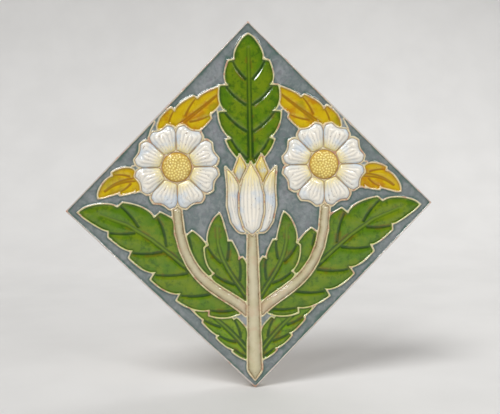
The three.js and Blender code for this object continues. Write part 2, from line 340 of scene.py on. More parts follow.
def triangulated(lines, loose=()):
    """The points and triangles inside the first line and outside the others, with the lines' points first."""
    points = np.vstack([*lines, *loose])
    starts = np.cumsum([0] + [len(line) for line in lines])
    rings = [list(range(start, end)) for start, end in zip(starts, starts[1:])]
    places = [Vector(p) for p in points]
    made = geometry.delaunay_2d_cdt(places, [], rings, INSIDE_WITHOUT_HOLES, 1e-6)
    assert len(made[0]) == len(points), f"{len(made[0]) - len(points)} crossings in the outlines"
    return points, np.array(made[2])


for i, cell in enumerate(cells.values()):
    own = face_grid[grid_inside & (grid_owner == i) & (grid_distance > EDGE_ROWS[-1] + GRID_STEP / 2)]
    cell["points"], cell["faces"] = triangulated([cell["edge"]], [*edge_rows(cell["edge"], -1), own])
print("triangles on the pools:", sum(len(cell["faces"]) for cell in cells.values()))

# %% [markdown]
# ## The raised lines
#
# The lines between the pools are one network of clay, so they are one piece. It fills what the cells
# leave of the square face, out to the edge of the tile.

# %% Lay out the network of raised lines
RIM_ROWS = (0.12, 0.3, 0.55)
SAME_PLACE = 0.14


def apart(points, clearance):
    """Leaves out points that fall on the same small square as an earlier one."""
    _, first = np.unique(np.round(points / clearance).astype(int), axis=0, return_index=True)
    return points[np.sort(first)]


rim_line = drawn_line(square)
lines = [rim_line, *[edge[::-1] for edge in all_edges]]
beside_cells = np.vstack([row for edge in all_edges for row in edge_rows(edge, 1)])
beside_rim = np.vstack([rim_line - distance * outward(rim_line) for distance in RIM_ROWS])
on_ridges = face_grid[~grid_inside & (grid_distance > EDGE_ROWS[-1] + SAME_PLACE)]
loose = apart(np.vstack([beside_cells, beside_rim, on_ridges]), SAME_PLACE)
rim_distance = (corner - np.abs(loose).sum(1)) / math.sqrt(2)
loose = loose[rim_distance > RIM_ROWS[0] / 2]
ridge_points, ridge_faces = triangulated(lines, [loose])
print("triangles on the raised lines:", len(ridge_faces))

# %% [markdown]
# ## The surface of the fired glaze
#
# A glaze that melts in a cell lies nearly flat in the middle and turns up to the line round it. Over a
# leaf it follows the swelling between the veins and sinks into them, and there it is thick and dark. Over
# a petal it runs off the crown and gathers at the foot. These shapes are formulas of the distances from
# edge and vein, and a little averaging between neighbours takes away the creases where two slopes meet.

# %% Shape helpers
SHORE_LEVEL = outline_top - 0.36
POOL_LEVEL = pool_top - 0.28
UPTURN_WIDTH = 0.36


def bump(distance, width):
    """One at the middle of a bump, falling off smoothly to nothing."""
    return np.exp(-((distance / width) ** 2))


def dome(share):
    """A round profile that rises from nothing at the edge to one."""
    share = np.clip(share, 0, 1)
    return np.sqrt(1 - (1 - share) ** 2)


def uneven(cell, height, size, seed):
    return height * wander(cell["points"], size, seed)


def upturned(shore):
    """The level of a flat pool, which turns up to the line round it."""
    return POOL_LEVEL + (SHORE_LEVEL - POOL_LEVEL) * np.exp(-shore / UPTURN_WIDTH)


def risen(cell, top, roundness):
    """The level of a raised pool, which swells from its shore up to its top."""
    return SHORE_LEVEL + (top - SHORE_LEVEL) * dome(cell["shore"] / cell["shore"].max()) ** roundness


def relaxed(values, faces, held, rounds):
    """Each value is drawn towards those of its neighbours, except where it is held."""
    pairs = np.vstack([faces[:, [0, 1]], faces[:, [1, 2]], faces[:, [2, 0]]])
    pairs = np.vstack([pairs, pairs[:, ::-1]])
    count = np.bincount(pairs[:, 0], minlength=len(values))
    for _ in range(rounds):
        around = np.bincount(pairs[:, 0], values[pairs[:, 1]], minlength=len(values)) / np.maximum(count, 1)
        values = np.where(held, values, (values + around) / 2)
    return values


# %% The level of the ground and the leaves
SWELLS = ((0.22, 0.8), (0.26, 2.6))
RIB_HEIGHT = 0.1
RIB_FROM = 0.35
RIB_WIDTH = 0.75
VEIN_HOLLOW = 0.26
VEIN_WIDTH = 0.5


def ground_level(cell):
    swell = uneven(cell, height=0.05, size=9, seed=1) + uneven(cell, height=0.015, size=2.5, seed=2)
    return upturned(cell["shore"]) + swell


def rib_of(cell):
    """One on the rib between a leaf's two longest grooves, which run beside its middle."""
    if len(cell["veins"]) < 2:
        return np.zeros(len(cell["points"]))
    beside_rib = [Shore([groove]).measure(cell["points"])[0] for groove in cell["veins"][:2]]
    return bump(np.maximum(*beside_rib) - RIB_FROM, RIB_WIDTH)


def leaf_level(cell, depth):
    near = np.minimum(cell["shore"], cell["vein"])
    swell = sum(height * (1 - bump(near, width)) for height, width in SWELLS) + RIB_HEIGHT * cell["rib"]
    hollow = VEIN_HOLLOW * bump(cell["vein"], VEIN_WIDTH)
    return upturned(cell["shore"]) + depth * (swell - hollow) + uneven(cell, height=0.05, size=6, seed=3)


# %% Where a petal points
NEVER_ZERO = 0.05


def middle_of(node):
    low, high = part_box(node)
    return np.array([low.x + high.x, low.z + high.z]) / 2 / MM


def root_of(name):
    """The point that a petal grows from."""
    if "rosette" in name:
        return middle_of("rosette_heart_" + name.split("_")[2])
    return np.array([0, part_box("tulip_front_petal")[0].z / MM])


def petal_axes(name, cell):
    """How far along a petal each point lies, 0 to 1, and how far across, in mm as at the widest place."""
    root = root_of(name)
    tip = cell["edge"][cell["edge"][:, 1].argmax()] if "tulip" in name else cell["edge"].mean(0)
    heading = unit(tip - root)
    sideways = np.array([-heading[1], heading[0]])
    edge_forward = (cell["edge"] - root) @ heading
    forward = (cell["points"] - root) @ heading
    aside = (cell["points"] - root) @ sideways
    if "tulip" in name:
        middle_line = np.polyfit(edge_forward, (cell["edge"] - root) @ sideways, 2)
        aside = aside - np.polyval(middle_line, forward)
    across = aside / (np.abs(aside) + np.maximum(cell["shore"], NEVER_ZERO))
    return (forward - edge_forward.min()) / np.ptp(edge_forward), across * cell["shore"].max()


# %% The level of the stems and the flowers
STEM_SPARE = 0.06
STEM_FURROW = 0.1
STEM_FURROW_WIDTH = 0.3
FURROWS = (-0.68, -0.36, 0.0, 0.36, 0.68)
FEW_FURROWS = (-0.5, 0.0, 0.5)
BROAD_PETAL = 3.6
FURROW_WIDTH = 0.44
FURROW_DEPTH = 0.42
FURROW_FADE = 1.9
FURROW_FULL = 1.25
SIDE_FADE = 1.2
PETAL_SPARE = 0.1
YELLOW_TIP = ((0.55, 0.9), (0, 1))
YELLOW_FOOT = ((0, 0.42), (1, 0))
SEEDS = 74
SEED_FIELD = 0.93
SEED_WIDTH = 0.52
SEED_HEIGHT = 0.5
HEART_SPARE = 0.08
GOLDEN = math.pi * (3 - math.sqrt(5))


def stem_level(cell):
    furrow = STEM_FURROW * bump(cell["shore"] - cell["shore"].max() / 2, STEM_FURROW_WIDTH)
    crown = risen(cell, stem_top - STEM_SPARE, roundness=1.7)
    return crown - furrow + uneven(cell, height=0.05, size=3, seed=4)


def petal_level(cell):
    reach = cell["shore"].max()
    fade = np.clip(FURROW_FULL - FURROW_FADE * np.abs(cell["along"] - 0.5), 0, 1)
    fade = fade * np.clip(cell["shore"] / SIDE_FADE, 0, 1)
    furrows = FURROWS if reach > BROAD_PETAL else FEW_FURROWS
    cell["furrow"] = fade * sum(bump(cell["across"] - middle * reach, FURROW_WIDTH) for middle in furrows)
    cell["sunny"] = np.interp(cell["along"], *(YELLOW_TIP if cell["kind"] == "tulip" else YELLOW_FOOT))
    crown = risen(cell, petal_top - PETAL_SPARE, roundness=1.2)
    return crown - FURROW_DEPTH * cell["furrow"] + uneven(cell, height=0.04, size=2.2, seed=5)


def heart_level(cell, middle):
    seeds = np.zeros(len(cell["points"]))
    for k in range(SEEDS):
        radius = SEED_FIELD * cell["shore"].max() * math.sqrt((k + 0.5) / SEEDS)
        seed = middle + radius * np.array([math.cos(k * GOLDEN), math.sin(k * GOLDEN)])
        seeds = np.maximum(seeds, bump(np.linalg.norm(cell["points"] - seed, axis=1), SEED_WIDTH))
    cell["seed"] = seeds
    crown = risen(cell, heart_top - SEED_HEIGHT - HEART_SPARE, roundness=0.9)
    return crown + SEED_HEIGHT * seeds


# %% Level every pool
ROUNDS = {"ground": 2, "leaf": 3, "amber_leaf": 3, "stem": 4, "rosette_petal": 2, "tulip": 2,
          "rosette_heart": 1}
LEAF_DEPTH = 0.62
AMBER_DEPTH = 0.5
NO_VEIN = 9.0

for name, cell in cells.items():
    cell["shore"], _, _ = Shore([cell["edge"]]).measure(cell["points"])
    cell["vein"] = np.full(len(cell["points"]), NO_VEIN)
    if cell["veins"]:
        off, within, _ = Shore(cell["veins"]).measure(cell["points"])
        cell["vein"] = np.where(within, 0, off)
    if cell["kind"] in ("rosette_petal", "tulip"):
        cell["along"], cell["across"] = petal_axes(name, cell)
        level = petal_level(cell)
    elif cell["kind"] == "rosette_heart":
        level = heart_level(cell, middle_of(name))
    elif cell["kind"] == "stem":
        level = stem_level(cell)
    elif cell["kind"] == "ground":
        level = ground_level(cell)
    else:
        cell["rib"] = rib_of(cell)
        level = leaf_level(cell, AMBER_DEPTH if cell["kind"] == "amber_leaf" else LEAF_DEPTH)
    on_edge = np.arange(len(cell["points"])) < len(cell["edge"])
    level = np.where(on_edge, SHORE_LEVEL, level)
    cell["level"] = relaxed(level, cell["faces"], on_edge, ROUNDS[cell["kind"]])
print("highest glaze:", round(max(c["level"].max() for c in cells.values()), 2), "mm")

# %% [markdown]
# ## The worn lines
#
# A line is rounded, and the rim has a small round arris. Where lines meet in a broad patch, the clay lies
# a little lower and the ground glaze runs over it. The rim has lost small chips, and the corners are
# worn. A chip is given by its place, in shares of the corner's distance, and its radius in millimetres.

# %% The level of the raised lines
RIDGE_HALF = 0.55
RIDGE_UNEVEN = 0.03
ARRIS = 0.55
WASH_FROM = 0.62
WASH_WIDTH = 0.45
WASH_DEPTH = 0.28

ridge_shore, _, ridge_owner = all_shores.measure(ridge_points)
ridge_rim = np.clip((corner - np.abs(ridge_points).sum(1)) / math.sqrt(2), 0, None)
crest = np.sin(np.clip(ridge_shore / RIDGE_HALF, 0, 1) * math.pi / 2)
ridge_level = SHORE_LEVEL + (outline_top - SHORE_LEVEL - RIDGE_UNEVEN) * crest
ridge_level += RIDGE_UNEVEN * wander(ridge_points, size=4, seed=6)
broad = np.clip((np.minimum(ridge_shore, ridge_rim) - WASH_FROM) / WASH_WIDTH, 0, 1)
washed = broad ** 2 * (3 - 2 * broad)
ridge_level -= WASH_DEPTH * washed
ridge_level -= ARRIS * (1 - dome(ridge_rim / ARRIS))

# %% Chip the rim and wear the corners
CHIPS = ((0.93, 0.07, 1.3), (0.55, 0.45, 0.9), (0.21, 0.79, 1.1), (-0.36, 0.64, 1.0), (-0.72, 0.28, 1.5),
         (-0.41, -0.59, 0.9), (0.34, -0.66, 1.0), (0.8, -0.2, 0.8), (-0.14, -0.86, 1.2), (0.67, -0.33, 0.7))
WORN_CORNERS = ((0, -1, 2.4), (-1, 0, 1.5), (1, 0, 1.1), (0, 1, 1.2))
CHIP_DEPTH = 0.35
CHIP_REACH = 1.4
CHIP_INWARDS = 0.8
CHIP_SLOPE = 0.5
WEAR_REACH = 1.5
WEAR_RAGGED = 0.5


def off_spots(spots):
    """How far each point lies off the nearest spot, in radii of the spot."""
    return np.min([np.linalg.norm(ridge_points - corner * np.array([u, v]), axis=1) / radius
                   for u, v, radius in spots], axis=0)


near_rim = np.clip((CHIP_INWARDS - ridge_rim) / CHIP_SLOPE, 0, 1)
nicked = np.clip(CHIP_REACH - off_spots(CHIPS), 0, 1) * near_rim
ragged = WEAR_RAGGED * wander(ridge_points, size=0.8, seed=7)
chipped = np.maximum(nicked, np.clip(WEAR_REACH - off_spots(WORN_CORNERS) + ragged, 0, 1))
ridge_level = np.minimum(ridge_level - CHIP_DEPTH * chipped, outline_top)
print("raised lines:", ridge_level.min().round(2), "to", ridge_level.max().round(2), "mm")

# %% [markdown]
# ## Closed pieces
#
# Each skin becomes a closed solid: a wall goes down from its edge to the level that the pockets were
# pressed to, and a plain floor closes it. The distances are kept on the points as attributes, because the
# colours of the glaze need them later: how far the nearest edge is, how far the nearest vein is, and the
# place on a petal.

# %% Turn a skin into a piece
SLAB_LEVEL = pocket_floor
SMOOTH_ANGLE = math.radians(52)


def deselect_all():
    bpy.ops.object.select_all(action="DESELECT")


def select_only(piece):
    deselect_all()
    piece.select_set(True)
    bpy.context.view_layer.objects.active = piece


def closed_piece(name, points, faces, level, lines, **attributes):
    """A skin with walls under its lines and a floor. The lines come first among its points."""
    count = len(points)
    rim = sum(len(line) for line in lines)
    floor_points, floor_faces = triangulated(lines)
    walls = []
    start = 0
    for line in lines:
        ring = np.arange(start, start + len(line))
        after = np.roll(ring, -1)
        walls.append(np.stack([ring, ring + count, after + count], axis=1))
        walls.append(np.stack([ring, after + count, after], axis=1))
        start += len(line)
    places = np.vstack([
        np.stack([points[:, 0], -level, points[:, 1]], axis=1),
        np.stack([floor_points[:, 0], np.full(rim, -SLAB_LEVEL), floor_points[:, 1]], axis=1),
    ])
    triangles = np.vstack([faces, *walls, floor_faces[:, ::-1] + count])
    mesh = bpy.data.meshes.new(name)
    mesh.from_pydata((places * MM).tolist(), [], triangles.tolist())
    for key, values in attributes.items():
        layer = mesh.attributes.new(key, "FLOAT", "POINT")
        layer.data.foreach_set("value", np.concatenate([values, np.zeros(rim)]).astype(np.float32))
    piece = bpy.data.objects.new(name, mesh)
    bpy.context.scene.collection.objects.link(piece)
    select_only(piece)
    bpy.ops.object.shade_smooth_by_angle(angle=SMOOTH_ANGLE)
    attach(piece, "root")
    return piece


pools = {}
for name, cell in cells.items():
    more = {key: cell[key] for key in ("along", "across", "furrow", "sunny", "seed", "rib") if key in cell}
    piece = closed_piece(name + "_pool", cell["points"], cell["faces"], cell["level"], [cell["edge"]],
                         edge_mm=cell["shore"], vein_mm=cell["vein"], **more)
    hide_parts(name)
    pools[name] = piece
print("pools of glaze:", len(pools))

# %% Make the raised lines a piece
KINDS = [cell["kind"] for cell in cells.values()]


def belongs_to(*kinds):
    """One where the nearest pool is of one of these kinds, and nothing elsewhere."""
    chosen = np.array([kind in kinds for kind in KINDS], float)
    return chosen[ridge_owner]


raised_lines = closed_piece(
    "raised_lines", ridge_points, ridge_faces, ridge_level, lines,
    edge_mm=ridge_shore, rim_mm=ridge_rim, chipped=chipped, washed=washed,
    by_leaf=belongs_to("leaf"), by_amber=belongs_to("amber_leaf"),
    by_petal=belongs_to("rosette_petal", "rosette_heart", "tulip"), by_stem=belongs_to("stem"),
)
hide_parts("tile_body")
print("triangles on the raised lines piece:", len(raised_lines.data.polygons))

# %% [markdown]
# ## The slab behind the glaze
#
# Behind the glaze is the bare fired clay, which potters call biscuit. Its back has rows of shallow square
# keys, which the wall plaster grips, round a bare plate. This is made as by hand: a grid with one face
# for each key, two insets for the mouth and the sloping walls, the border pulled out to the edge, and
# that drawn forward.

# %% Model the slab
KEY_ROWS = 7
BARE_ROWS = 3
KEY_PITCH = 19.0
KEY_MOUTH = 14.0
KEY_DRAFT = 0.8
KEY_DEPTH = 1.4
COAT = 0.12
TUCK = 0.2


def select_faces(piece, test):
    """Selects the faces whose middle passes a test, and opens edit mode."""
    bpy.ops.object.mode_set(mode="OBJECT")
    for part in (piece.data.vertices, piece.data.edges):
        part.foreach_set("select", [False] * len(part))
    for face in piece.data.polygons:
        face.select = test(face.center)
    bpy.ops.object.mode_set(mode="EDIT")
    bpy.ops.mesh.select_mode(type="FACE")


def is_keyed(middle):
    return max(abs(middle.x), abs(middle.y)) > BARE_ROWS / 2 * KEY_PITCH * MM


deselect_all()
keyed_side = KEY_ROWS * KEY_PITCH * MM
bpy.ops.mesh.primitive_grid_add(x_subdivisions=KEY_ROWS, y_subdivisions=KEY_ROWS, size=keyed_side)
slab = bpy.context.object
slab.name = "biscuit_slab"
print("faces of the grid:", len(slab.data.polygons))
select_faces(slab, is_keyed)
bpy.ops.mesh.inset(thickness=(KEY_PITCH - KEY_MOUTH) / 2 * MM, use_individual=True)
bpy.ops.mesh.inset(thickness=KEY_DRAFT * MM, depth=-KEY_DEPTH * MM, use_individual=True)
bpy.ops.mesh.select_mode(type="EDGE")
bpy.ops.mesh.select_all(action="DESELECT")
bpy.ops.mesh.select_non_manifold()
bpy.ops.mesh.extrude_edges_move()
slab_side = (tile_side - 2 * COAT) * MM
grown = slab_side / keyed_side
bpy.ops.transform.resize(value=(grown, grown, 1), center_override=(0, 0, 0))
bpy.ops.mesh.extrude_edges_move()
bpy.ops.transform.translate(value=(0, 0, -(pocket_floor + TUCK) * MM))
bpy.ops.mesh.edge_face_add()
bpy.ops.mesh.select_all(action="SELECT")
bpy.ops.mesh.normals_make_consistent(inside=False)
bpy.ops.object.mode_set(mode="OBJECT")
print("slab:", [round(v / MM, 2) for v in slab.dimensions], "faces:", len(slab.data.polygons))

# %% [markdown]
# Pressed clay has no sharp edge and no true plane. A bevel rounds the edges, and a cloud texture pushes
# the subdivided surface in by up to a tenth of a millimetre. It only pushes inwards, so the slab keeps
# its size. Dust has gathered in the keys, most of all in their corners, and how much of it lies on each
# point is kept as an attribute for the material.

# %% Soften the slab and turn it to the back
EDGE_ROUND = 0.4
HAND_PRESSED = 0.12
CLOUD_SIZE = 7.0


def add_modifier(piece, kind, **settings):
    modifier = piece.modifiers.new(kind.title(), kind)
    for key, value in settings.items():
        setattr(modifier, key, value)
    bpy.ops.object.modifier_apply(modifier=modifier.name)


select_only(slab)
add_modifier(slab, "BEVEL", width=EDGE_ROUND * MM, segments=2, limit_method="ANGLE")
add_modifier(slab, "TRIANGULATE")
add_modifier(slab, "SUBSURF", subdivision_type="SIMPLE", levels=2, render_levels=2)
clouds = bpy.data.textures.new("pressed clay", "CLOUDS")
clouds.noise_scale = CLOUD_SIZE * MM
add_modifier(slab, "DISPLACE", texture=clouds, texture_coords="LOCAL", mid_level=1,
             strength=HAND_PRESSED * MM)
slab.matrix_world = Matrix.Rotation(math.radians(-90), 4, "X") @ Matrix.Rotation(math.radians(45), 4, "Z")
bpy.ops.object.transform_apply(location=True, rotation=True, scale=True)
bpy.ops.object.shade_smooth_by_angle(angle=SMOOTH_ANGLE)

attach(slab, "root")
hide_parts("tile_body")
print("faces of the slab:", len(slab.data.polygons), "size:", [round(v / MM, 2) for v in slab.dimensions])

# %% Keep where dust gathers in the keys
OPEN_DUST = 0.35

places = np.array([point.co for point in slab.data.vertices]) / MM
across_back = (places[:, [0, 0]] + places[:, [2, 2]] * (1, -1)) / math.sqrt(2)
off_middle = np.abs(across_back - KEY_PITCH * np.round(across_back / KEY_PITCH)).max(1)
sunk = np.clip(-places[:, 1] / KEY_DEPTH, 0, 1)
sunk[(places[:, 1] < -2 * KEY_DEPTH) | (np.abs(across_back).max(1) > KEY_ROWS * KEY_PITCH / 2)] = 0
in_corner = (off_middle / (KEY_MOUTH / 2 - KEY_DRAFT)) ** 4
dusty = slab.data.attributes.new("dusty", "FLOAT", "POINT")
dusty.data.foreach_set("value", (sunk * (OPEN_DUST + (1 - OPEN_DUST) * in_corner)).astype(np.float32))
print("points in the keys:", np.count_nonzero(sunk))

# %% [markdown]
# ## Reading and mixing in the materials
#
# A few helpers keep the recipes short. A colour is given as it looks on a screen and turned into light. A
# node is added with its inputs by name, where an input is a number, a colour or the output of another
# node. Blotches are a noise that starts at one value and is full at another, and a stain lays one more
# colour over a tint, as strongly as some shares multiplied with each other.

# %% Helpers for nodes
def colour(red, green, blue):
    """A colour in light, from its values between 0 and 255 on a screen."""
    return (*(((v / 255 + 0.055) / 1.055) ** 2.4 if v > 10 else v / 3295 for v in (red, green, blue)), 1)


def give(tree, node, inputs):
    """Gives a node its inputs by name: numbers, colours, or the outputs of other nodes."""
    for key, value in inputs.items():
        if isinstance(value, bpy.types.NodeSocket):
            tree.links.new(value, node.inputs[key])
        else:
            node.inputs[key].default_value = value


def add(tree, kind, inputs=None, **settings):
    node = tree.nodes.new("ShaderNode" + kind)
    for key, value in settings.items():
        setattr(node, key, value)
    give(tree, node, inputs or {})
    return node


def new_group(name, inputs, outputs):
    """A node group with named sockets. An input is given with its kind and its usual value."""
    group = bpy.data.node_groups.new(name, "ShaderNodeTree")
    for label, (kind, value) in inputs.items():
        socket = group.interface.new_socket(label, in_out="INPUT", socket_type="NodeSocket" + kind)
        socket.default_value = value
    for label, kind in outputs.items():
        group.interface.new_socket(label, in_out="OUTPUT", socket_type="NodeSocket" + kind)
    return group, group.nodes.new("NodeGroupInput").outputs, group.nodes.new("NodeGroupOutput")


def use(tree, group, inputs):
    return add(tree, "Group", inputs, node_tree=group).outputs


# %% Helpers for values and colours
def sums(tree, operation, *values, clamp=False):
    return add(tree, "Math", dict(enumerate(values)), operation=operation, use_clamp=clamp).outputs[0]


def product(tree, first, *others):
    for value in others:
        first = sums(tree, "MULTIPLY", first, value)
    return first


def ramp(tree, value, low, high, to_low=0.0, to_high=1.0):
    inputs = {"Value": value, "From Min": low, "From Max": high, "To Min": to_low, "To Max": to_high}
    return add(tree, "MapRange", inputs, interpolation_type="SMOOTHSTEP").outputs[0]


def attribute(tree, name):
    return add(tree, "Attribute", attribute_name=name).outputs["Fac"]


def object_place(tree):
    return add(tree, "TexCoord").outputs["Object"]


def patches(tree, size, detail=2.0, roughness=0.5, distortion=0.0):
    """A smooth noise with patches of a given size in millimetres, mostly between 0.3 and 0.7."""
    inputs = {"Vector": object_place(tree), "Scale": 1 / (size * MM), "Detail": detail,
              "Roughness": roughness, "Distortion": distortion}
    return add(tree, "TexNoise", inputs).outputs["Fac"]


def blotches(tree, size, detail, between, most=1.0, least=0.0, roughness=0.5):
    """Patches that start at one value of the noise and are full at another."""
    return ramp(tree, patches(tree, size, detail, roughness), *between, least, most)


def blend(tree, share, first, second):
    return add(tree, "Mix", {"Factor": share, 6: first, 7: second}, data_type="RGBA").outputs[2]


def shades(tree, share, first, second):
    return blend(tree, share, colour(*first), colour(*second))


def stain(tree, tint, shade, *shares):
    return blend(tree, product(tree, *shares), tint, colour(*shade))


# %% [markdown]
# ## Glaze that pools
#
# A coloured glaze is glass. Where it lies thick, at the foot of a line and in a pressed vein, its colour
# is deep, and where it thins over an edge the pale clay shows through. At the foot of every line the deep
# band is also painted shade, standing in for the shadow of the raised line. This group turns the kept
# distances into that colour. It is used by every glaze, with four colours and the widths of the deep
# bands in millimetres.

# %% Group: pooled glaze
WHITE = (1, 1, 1, 1)
# The pale band at the very edge is narrow, so the deep colour, partly painted shade, reaches the line.
THIN_BAND = 0.24
THINNED = 0.6

pooled, gets, gives = new_group(
    "Pooled glaze",
    {"Thin": ("Color", WHITE), "Full": ("Color", WHITE), "Deep": ("Color", WHITE), "Cloud": ("Color", WHITE),
     "Edge band": ("Float", 0.8), "Vein band": ("Float", 0.8), "Depth": ("Float", 1.0),
     "Cloudiness": ("Float", 0.5)},
    {"Colour": "Color", "Depth": "Float"},
)
shore = attribute(pooled, "edge_mm")
edge_share = sums(pooled, "DIVIDE", shore, gets["Edge band"])
# Deep glaze at the foot of a line, which also paints the shade there.
foot_pool_and_shade = sums(pooled, "EXPONENT", product(pooled, edge_share, -1.0))
vein_share = sums(pooled, "DIVIDE", attribute(pooled, "vein_mm"), gets["Vein band"])
vein_pool = sums(pooled, "EXPONENT", product(pooled, sums(pooled, "POWER", vein_share, 2.0), -1.0))
flow = blotches(pooled, 5.0, 3.0, (0.25, 0.75), 1.25, 0.55)
deepest = sums(pooled, "MAXIMUM", product(pooled, foot_pool_and_shade, flow), vein_pool)
depth = sums(pooled, "MULTIPLY", deepest, gets["Depth"], clamp=True)
cloud = product(pooled, blotches(pooled, 13.0, 4.0, (0.4, 0.68)), gets["Cloudiness"])
body_colour = blend(pooled, cloud, gets["Full"], gets["Cloud"])
deep_colour = blend(pooled, depth, body_colour, gets["Deep"])
thinness = ramp(pooled, shore, 0.0, THIN_BAND, THINNED, 0.0)
give(pooled, gives, {"Colour": blend(pooled, thinness, deep_colour, gets["Thin"]), "Depth": depth})
print("nodes in the pooled glaze:", len(pooled.nodes))

# %% [markdown]
# ## Specks, fine cracks and ripples
#
# Three more effects belong to fired ware. Iron in the clay bursts through as brown specks. The glaze
# shrinks more than the clay as it cools, and a net of hair cracks forms. Its surface keeps slow ripples
# and a few pinholes, which show only in the reflections, so they go to a bump.

# %% Group: iron specks
specks, gets, gives = new_group(
    "Iron specks",
    {"Spacing": ("Float", 2.0), "Size": ("Float", 0.2), "Amount": ("Float", 0.3)},
    {"Mask": "Float"},
)
per_metre = sums(specks, "DIVIDE", 1 / MM, gets["Spacing"])
dots = add(specks, "TexVoronoi", {"Vector": object_place(specks), "Scale": per_metre}).outputs
lot = add(specks, "SeparateColor", {"Color": dots["Color"]}).outputs[0]
chosen = sums(specks, "LESS_THAN", lot, gets["Amount"])
reach = sums(specks, "DIVIDE", gets["Size"], gets["Spacing"])
ragged = sums(specks, "ADD", dots["Distance"], blotches(specks, 0.3, 2.0, (0.3, 0.7), 0.06, -0.06))
near = add(specks, "MapRange", {"Value": ragged, "From Min": product(specks, reach, 0.4), "From Max": reach,
                                "To Min": 1.0, "To Max": 0.0}).outputs[0]
give(specks, gives, {"Mask": product(specks, near, chosen)})
print("nodes in the specks:", len(specks.nodes))

# %% Group: hair cracks
SWAY = 1.2

cracks, gets, gives = new_group("Hair cracks", {"Spacing": ("Float", 5.0)}, {"Mask": "Float"})
place = object_place(cracks)
swaying = add(cracks, "TexNoise", {"Vector": place, "Scale": 260.0}).outputs["Color"]
bent = add(cracks, "VectorMath", {0: swaying, 1: [SWAY * MM] * 3, 2: place}, operation="MULTIPLY_ADD")
per_metre = sums(cracks, "DIVIDE", 1 / MM, gets["Spacing"])
net = add(cracks, "TexVoronoi", {"Vector": bent.outputs[0], "Scale": per_metre}, feature="DISTANCE_TO_EDGE")
hair = ramp(cracks, net.outputs["Distance"], 0.004, 0.022, 1.0, 0.0)
give(cracks, gives, {"Mask": product(cracks, hair, blotches(cracks, 11.0, 2.0, (0.45, 0.62)))})
print("nodes in the cracks:", len(cracks.nodes))

# %% Group: ripples and pinholes
ripples, gets, gives = new_group("Ripples", {"Pinholes": ("Float", 1.0)}, {"Height": "Float"})
quick = product(ripples, patches(ripples, 0.9), 0.16)
waves = sums(ripples, "ADD", patches(ripples, 4.0, 1.0), quick)
holes = use(ripples, specks, {"Spacing": 2.6, "Size": 0.14, "Amount": 0.22})["Mask"]
pits = product(ripples, holes, gets["Pinholes"], -0.35)
give(ripples, gives, {"Height": sums(ripples, "ADD", waves, pits)})
print("shared effects:", [group.name for group in bpy.data.node_groups])

# %% [markdown]
# ## The glazes
#
# All glazes share one recipe: the pooled colour, then what is special to the glaze, then hair cracks and
# specks over it, a clear coat and a rippled bump. What differs is in the arguments.

# %% The recipe of a glaze
CRACKED = 0.14
RUSTED = 0.8


def new_material(name):
    material = bpy.data.materials.new(name)
    material.use_nodes = True
    tree = material.node_tree
    return material, tree, tree.nodes["Principled BSDF"]


def relief(tree, height, strength, depth):
    """The normal of a fine relief, with its depth in millimetres."""
    inputs = {"Strength": strength, "Distance": depth * MM, "Height": height}
    return add(tree, "Bump", inputs).outputs["Normal"]


def rippled(tree):
    return relief(tree, use(tree, ripples, {"Pinholes": 1.0})["Height"], strength=0.5, depth=0.05)


def glaze(name, special, thin, full, deep, cloud, bands, depth=1.0, cloudiness=0.5, speck=0.03):
    """A glaze with its four colours, and the widths of its deep bands at the edge and at the veins."""
    material, tree, shader = new_material(name)
    paint = use(tree, pooled, {
        "Thin": colour(*thin), "Full": colour(*full), "Deep": colour(*deep), "Cloud": colour(*cloud),
        "Edge band": bands[0], "Vein band": bands[1], "Depth": depth, "Cloudiness": cloudiness,
    })
    tint = special(tree, paint["Colour"], paint["Depth"])
    tint = stain(tree, tint, (90, 70, 50), use(tree, cracks, {"Spacing": 5.0})["Mask"], CRACKED)
    iron = use(tree, specks, {"Spacing": 2.4, "Size": 0.24, "Amount": speck})["Mask"]
    give(tree, shader, {
        "Base Color": stain(tree, tint, (70, 42, 25), iron, RUSTED),
        "Roughness": blotches(tree, 6.0, 2.0, (0.3, 0.7), 0.17, 0.07),
        "IOR": 1.46, "Coat Weight": 0.3, "Coat Roughness": 0.04, "Normal": rippled(tree),
    })
    return material


# %% What is special to the leaves and the ground
def amber_burn(tree, tint, depth):
    """Iron burns the amber orange where the kiln was hottest, and a little green has run in."""
    burnt = blotches(tree, 7.0, 4.0, (0.46, 0.64), 0.75, roughness=0.6)
    tint = stain(tree, tint, (182, 116, 2), burnt)
    brown = blotches(tree, 2.2, 4.0, (0.54, 0.72), 0.5, roughness=0.7)
    tint = stain(tree, tint, (164, 118, 4), brown)
    green = blotches(tree, 14.0, 2.0, (0.56, 0.68), 0.55, roughness=0.4)
    tint = stain(tree, tint, (138, 144, 12), green)
    return stain(tree, tint, (134, 84, 0), depth, 0.6)


def leaf_shade(tree, tint, depth):
    """The copper green is uneven: yellower where it ran thin, and lighter on its rib, partly thin glaze and
    partly a painted highlight.
    """
    pale = blotches(tree, 6.0, 4.0, (0.44, 0.66), 0.7, roughness=0.6)
    tint = stain(tree, tint, (114, 134, 2), pale)
    dark = blotches(tree, 3.4, 4.0, (0.48, 0.68), 0.65, roughness=0.7)
    tint = stain(tree, tint, (46, 84, 0), dark)
    near_vein = ramp(tree, attribute(tree, "vein_mm"), 0.3, 2.4, 0.7, 0.0)
    tint = stain(tree, tint, (112, 88, 4), near_vein, blotches(tree, 8.0, 3.0, (0.52, 0.64)))
    tint = stain(tree, tint, (36, 68, 0), depth, 0.8)
    # The lighter rib is partly thinner glaze and partly painted highlight.
    return stain(tree, tint, (128, 158, 18), attribute(tree, "rib"), 0.5)


